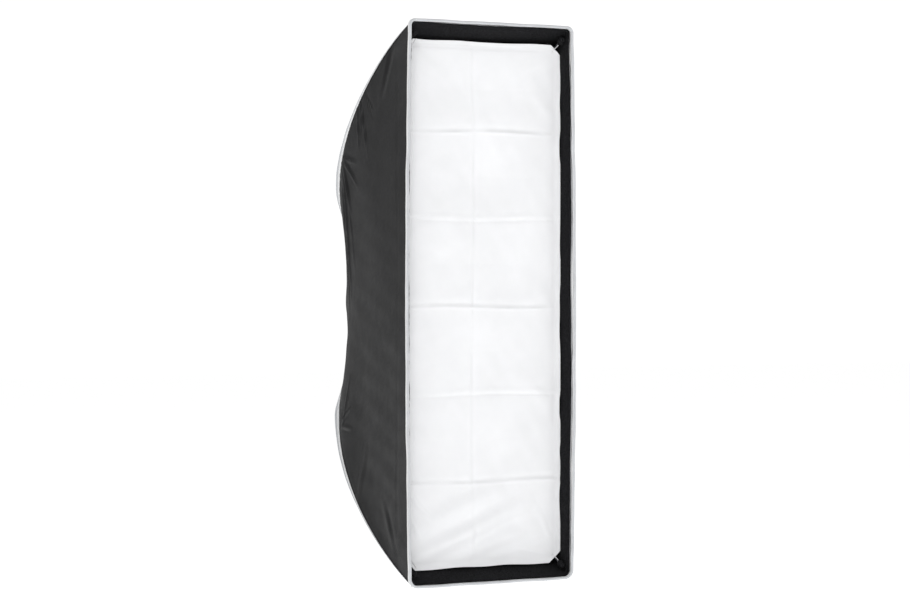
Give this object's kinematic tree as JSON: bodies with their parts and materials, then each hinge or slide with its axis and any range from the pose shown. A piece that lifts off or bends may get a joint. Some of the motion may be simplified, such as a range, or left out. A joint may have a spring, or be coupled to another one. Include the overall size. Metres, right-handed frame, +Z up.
{
  "type": "strip softbox",
  "caption": "Tall narrow softbox: bowed spring rods in a dark fabric shell with a recessed white front diffuser, on a rotating speed ring with a bayonet insert.",
  "frame": {"origin": "centre of the bayonet's seat plane, where the softbox rests against the lamp", "axes": "-Y is the way the light leaves, +Y points back to the lamp, +Z is up along the long side, +X is to the right seen from the front"},
  "size_m": [0.307, 0.429, 0.904],
  "materials": {
    "shell_nylon": "satin",
    "loop_tape": "matte",
    "light_binding": "matte",
    "diffuser_cloth": "matte",
    "black_webbing": "matte",
    "anodised_aluminium": "satin",
    "plated_steel": "satin",
    "spring_steel": "satin",
    "black_plastic": "matte"
  },
  "bodies": {
    "bayonet": {"insert_ring": "anodised_aluminium", "bayonet_plate": "plated_steel", "plate_screw_1": "plated_steel", "plate_screw_2": "plated_steel", "plate_screw_3": "plated_steel"},
    "speed_ring": {"speed_ring": "anodised_aluminium", "retaining_ring": "plated_steel", "hinge_pin_top_left": "plated_steel", "hinge_pin_top_right": "plated_steel", "hinge_pin_bottom_left": "plated_steel", "hinge_pin_bottom_right": "plated_steel", "rear_collar": "black_webbing", "left_panel": "shell_nylon", "right_panel": "shell_nylon", "left_rim_binding": "light_binding", "right_rim_binding": "light_binding", "left_loop_band": "loop_tape", "right_loop_band": "loop_tape", "front_diffuser": "diffuser_cloth", "inner_baffle": "diffuser_cloth", "baffle_strap_top_left": "black_webbing", "baffle_strap_top_right": "black_webbing", "baffle_strap_bottom_left": "black_webbing", "baffle_strap_bottom_right": "black_webbing"},
    "clamp_screw": {"clamp_screw": "plated_steel"},
    "clamp_knob": {"clamp_knob": "black_plastic"},
    "rod_top_left": {"rod_socket_top_left": "anodised_aluminium", "spring_rod_top_left": "spring_steel", "rod_tip_top_left": "black_plastic", "corner_pocket_top_left": "black_webbing", "seam_binding_top_left": "light_binding", "top_panel": "shell_nylon", "top_rim_binding": "light_binding", "top_loop_band": "loop_tape"},
    "latch_top_left": {"latch_button_top_left": "black_plastic"},
    "rod_top_right": {"rod_socket_top_right": "anodised_aluminium", "spring_rod_top_right": "spring_steel", "rod_tip_top_right": "black_plastic", "corner_pocket_top_right": "black_webbing", "seam_binding_top_right": "light_binding"},
    "latch_top_right": {"latch_button_top_right": "black_plastic"},
    "rod_bottom_left": {"rod_socket_bottom_left": "anodised_aluminium", "spring_rod_bottom_left": "spring_steel", "rod_tip_bottom_left": "black_plastic", "corner_pocket_bottom_left": "black_webbing", "seam_binding_bottom_left": "light_binding", "bottom_panel": "shell_nylon", "bottom_rim_binding": "light_binding", "bottom_loop_band": "loop_tape"},
    "latch_bottom_left": {"latch_button_bottom_left": "black_plastic"},
    "rod_bottom_right": {"rod_socket_bottom_right": "anodised_aluminium", "spring_rod_bottom_right": "spring_steel", "rod_tip_bottom_right": "black_plastic", "corner_pocket_bottom_right": "black_webbing", "seam_binding_bottom_right": "light_binding"},
    "latch_bottom_right": {"latch_button_bottom_right": "black_plastic"}
  },
  "joints": [
    {"name": "ring_turn", "type": "hinge", "parent": "bayonet", "child": "speed_ring", "pos_m": [0, 0, 0], "axis": [0, 1, 0], "continuous": true},
    {"name": "clamp_screw_advance", "type": "slide", "parent": "speed_ring", "child": "clamp_screw", "axis": [1, 0, 0], "range_m": [0, 0.003]},
    {"name": "clamp_knob_turn", "type": "hinge", "parent": "clamp_screw", "child": "clamp_knob", "pos_m": [0.081, -0.01, 0], "axis": [1, 0, 0], "range_deg": [0, 1080]},
    {"name": "fold_top_left", "type": "hinge", "parent": "speed_ring", "child": "rod_top_left", "pos_m": [-0.048, -0.039, 0.08], "axis": [1, 0, 0], "range_deg": [0, 48], "deforming": ["left_panel", "right_panel", "left_rim_binding", "right_rim_binding", "left_loop_band", "right_loop_band", "front_diffuser", "inner_baffle", "baffle_strap_top_left", "baffle_strap_top_right", "baffle_strap_bottom_left", "baffle_strap_bottom_right"]},
    {"name": "fold_top_right", "type": "hinge", "parent": "speed_ring", "child": "rod_top_right", "pos_m": [0.048, -0.039, 0.08], "axis": [1, 0, 0], "range_deg": [0, 48]},
    {"name": "fold_bottom_left", "type": "hinge", "parent": "speed_ring", "child": "rod_bottom_left", "pos_m": [-0.048, -0.039, -0.08], "axis": [1, 0, 0], "range_deg": [-48, 0]},
    {"name": "fold_bottom_right", "type": "hinge", "parent": "speed_ring", "child": "rod_bottom_right", "pos_m": [0.048, -0.039, -0.08], "axis": [1, 0, 0], "range_deg": [-48, 0]},
    {"name": "press_latch_top_left", "type": "slide", "parent": "rod_top_left", "child": "latch_top_left", "axis": [0, 1, 0], "range_m": [0, 0.0022], "stiffness_N_per_m": 300, "springref_m": -0.002},
    {"name": "press_latch_top_right", "type": "slide", "parent": "rod_top_right", "child": "latch_top_right", "axis": [0, 1, 0], "range_m": [0, 0.0022], "stiffness_N_per_m": 300, "springref_m": -0.002},
    {"name": "press_latch_bottom_left", "type": "slide", "parent": "rod_bottom_left", "child": "latch_bottom_left", "axis": [0, 1, 0], "range_m": [0, 0.0022], "stiffness_N_per_m": 300, "springref_m": -0.002},
    {"name": "press_latch_bottom_right", "type": "slide", "parent": "rod_bottom_right", "child": "latch_bottom_right", "axis": [0, 1, 0], "range_m": [0, 0.0022], "stiffness_N_per_m": 300, "springref_m": -0.002}
  ],
  "couplings": [
    {"joint": "clamp_knob_turn", "follows": "clamp_screw_advance", "rad_per_m": 6283.2},
    {"joint": "fold_top_right", "follows": "fold_top_left", "ratio": 1},
    {"joint": "fold_bottom_left", "follows": "fold_top_left", "ratio": -1},
    {"joint": "fold_bottom_right", "follows": "fold_top_left", "ratio": -1}
  ]
}
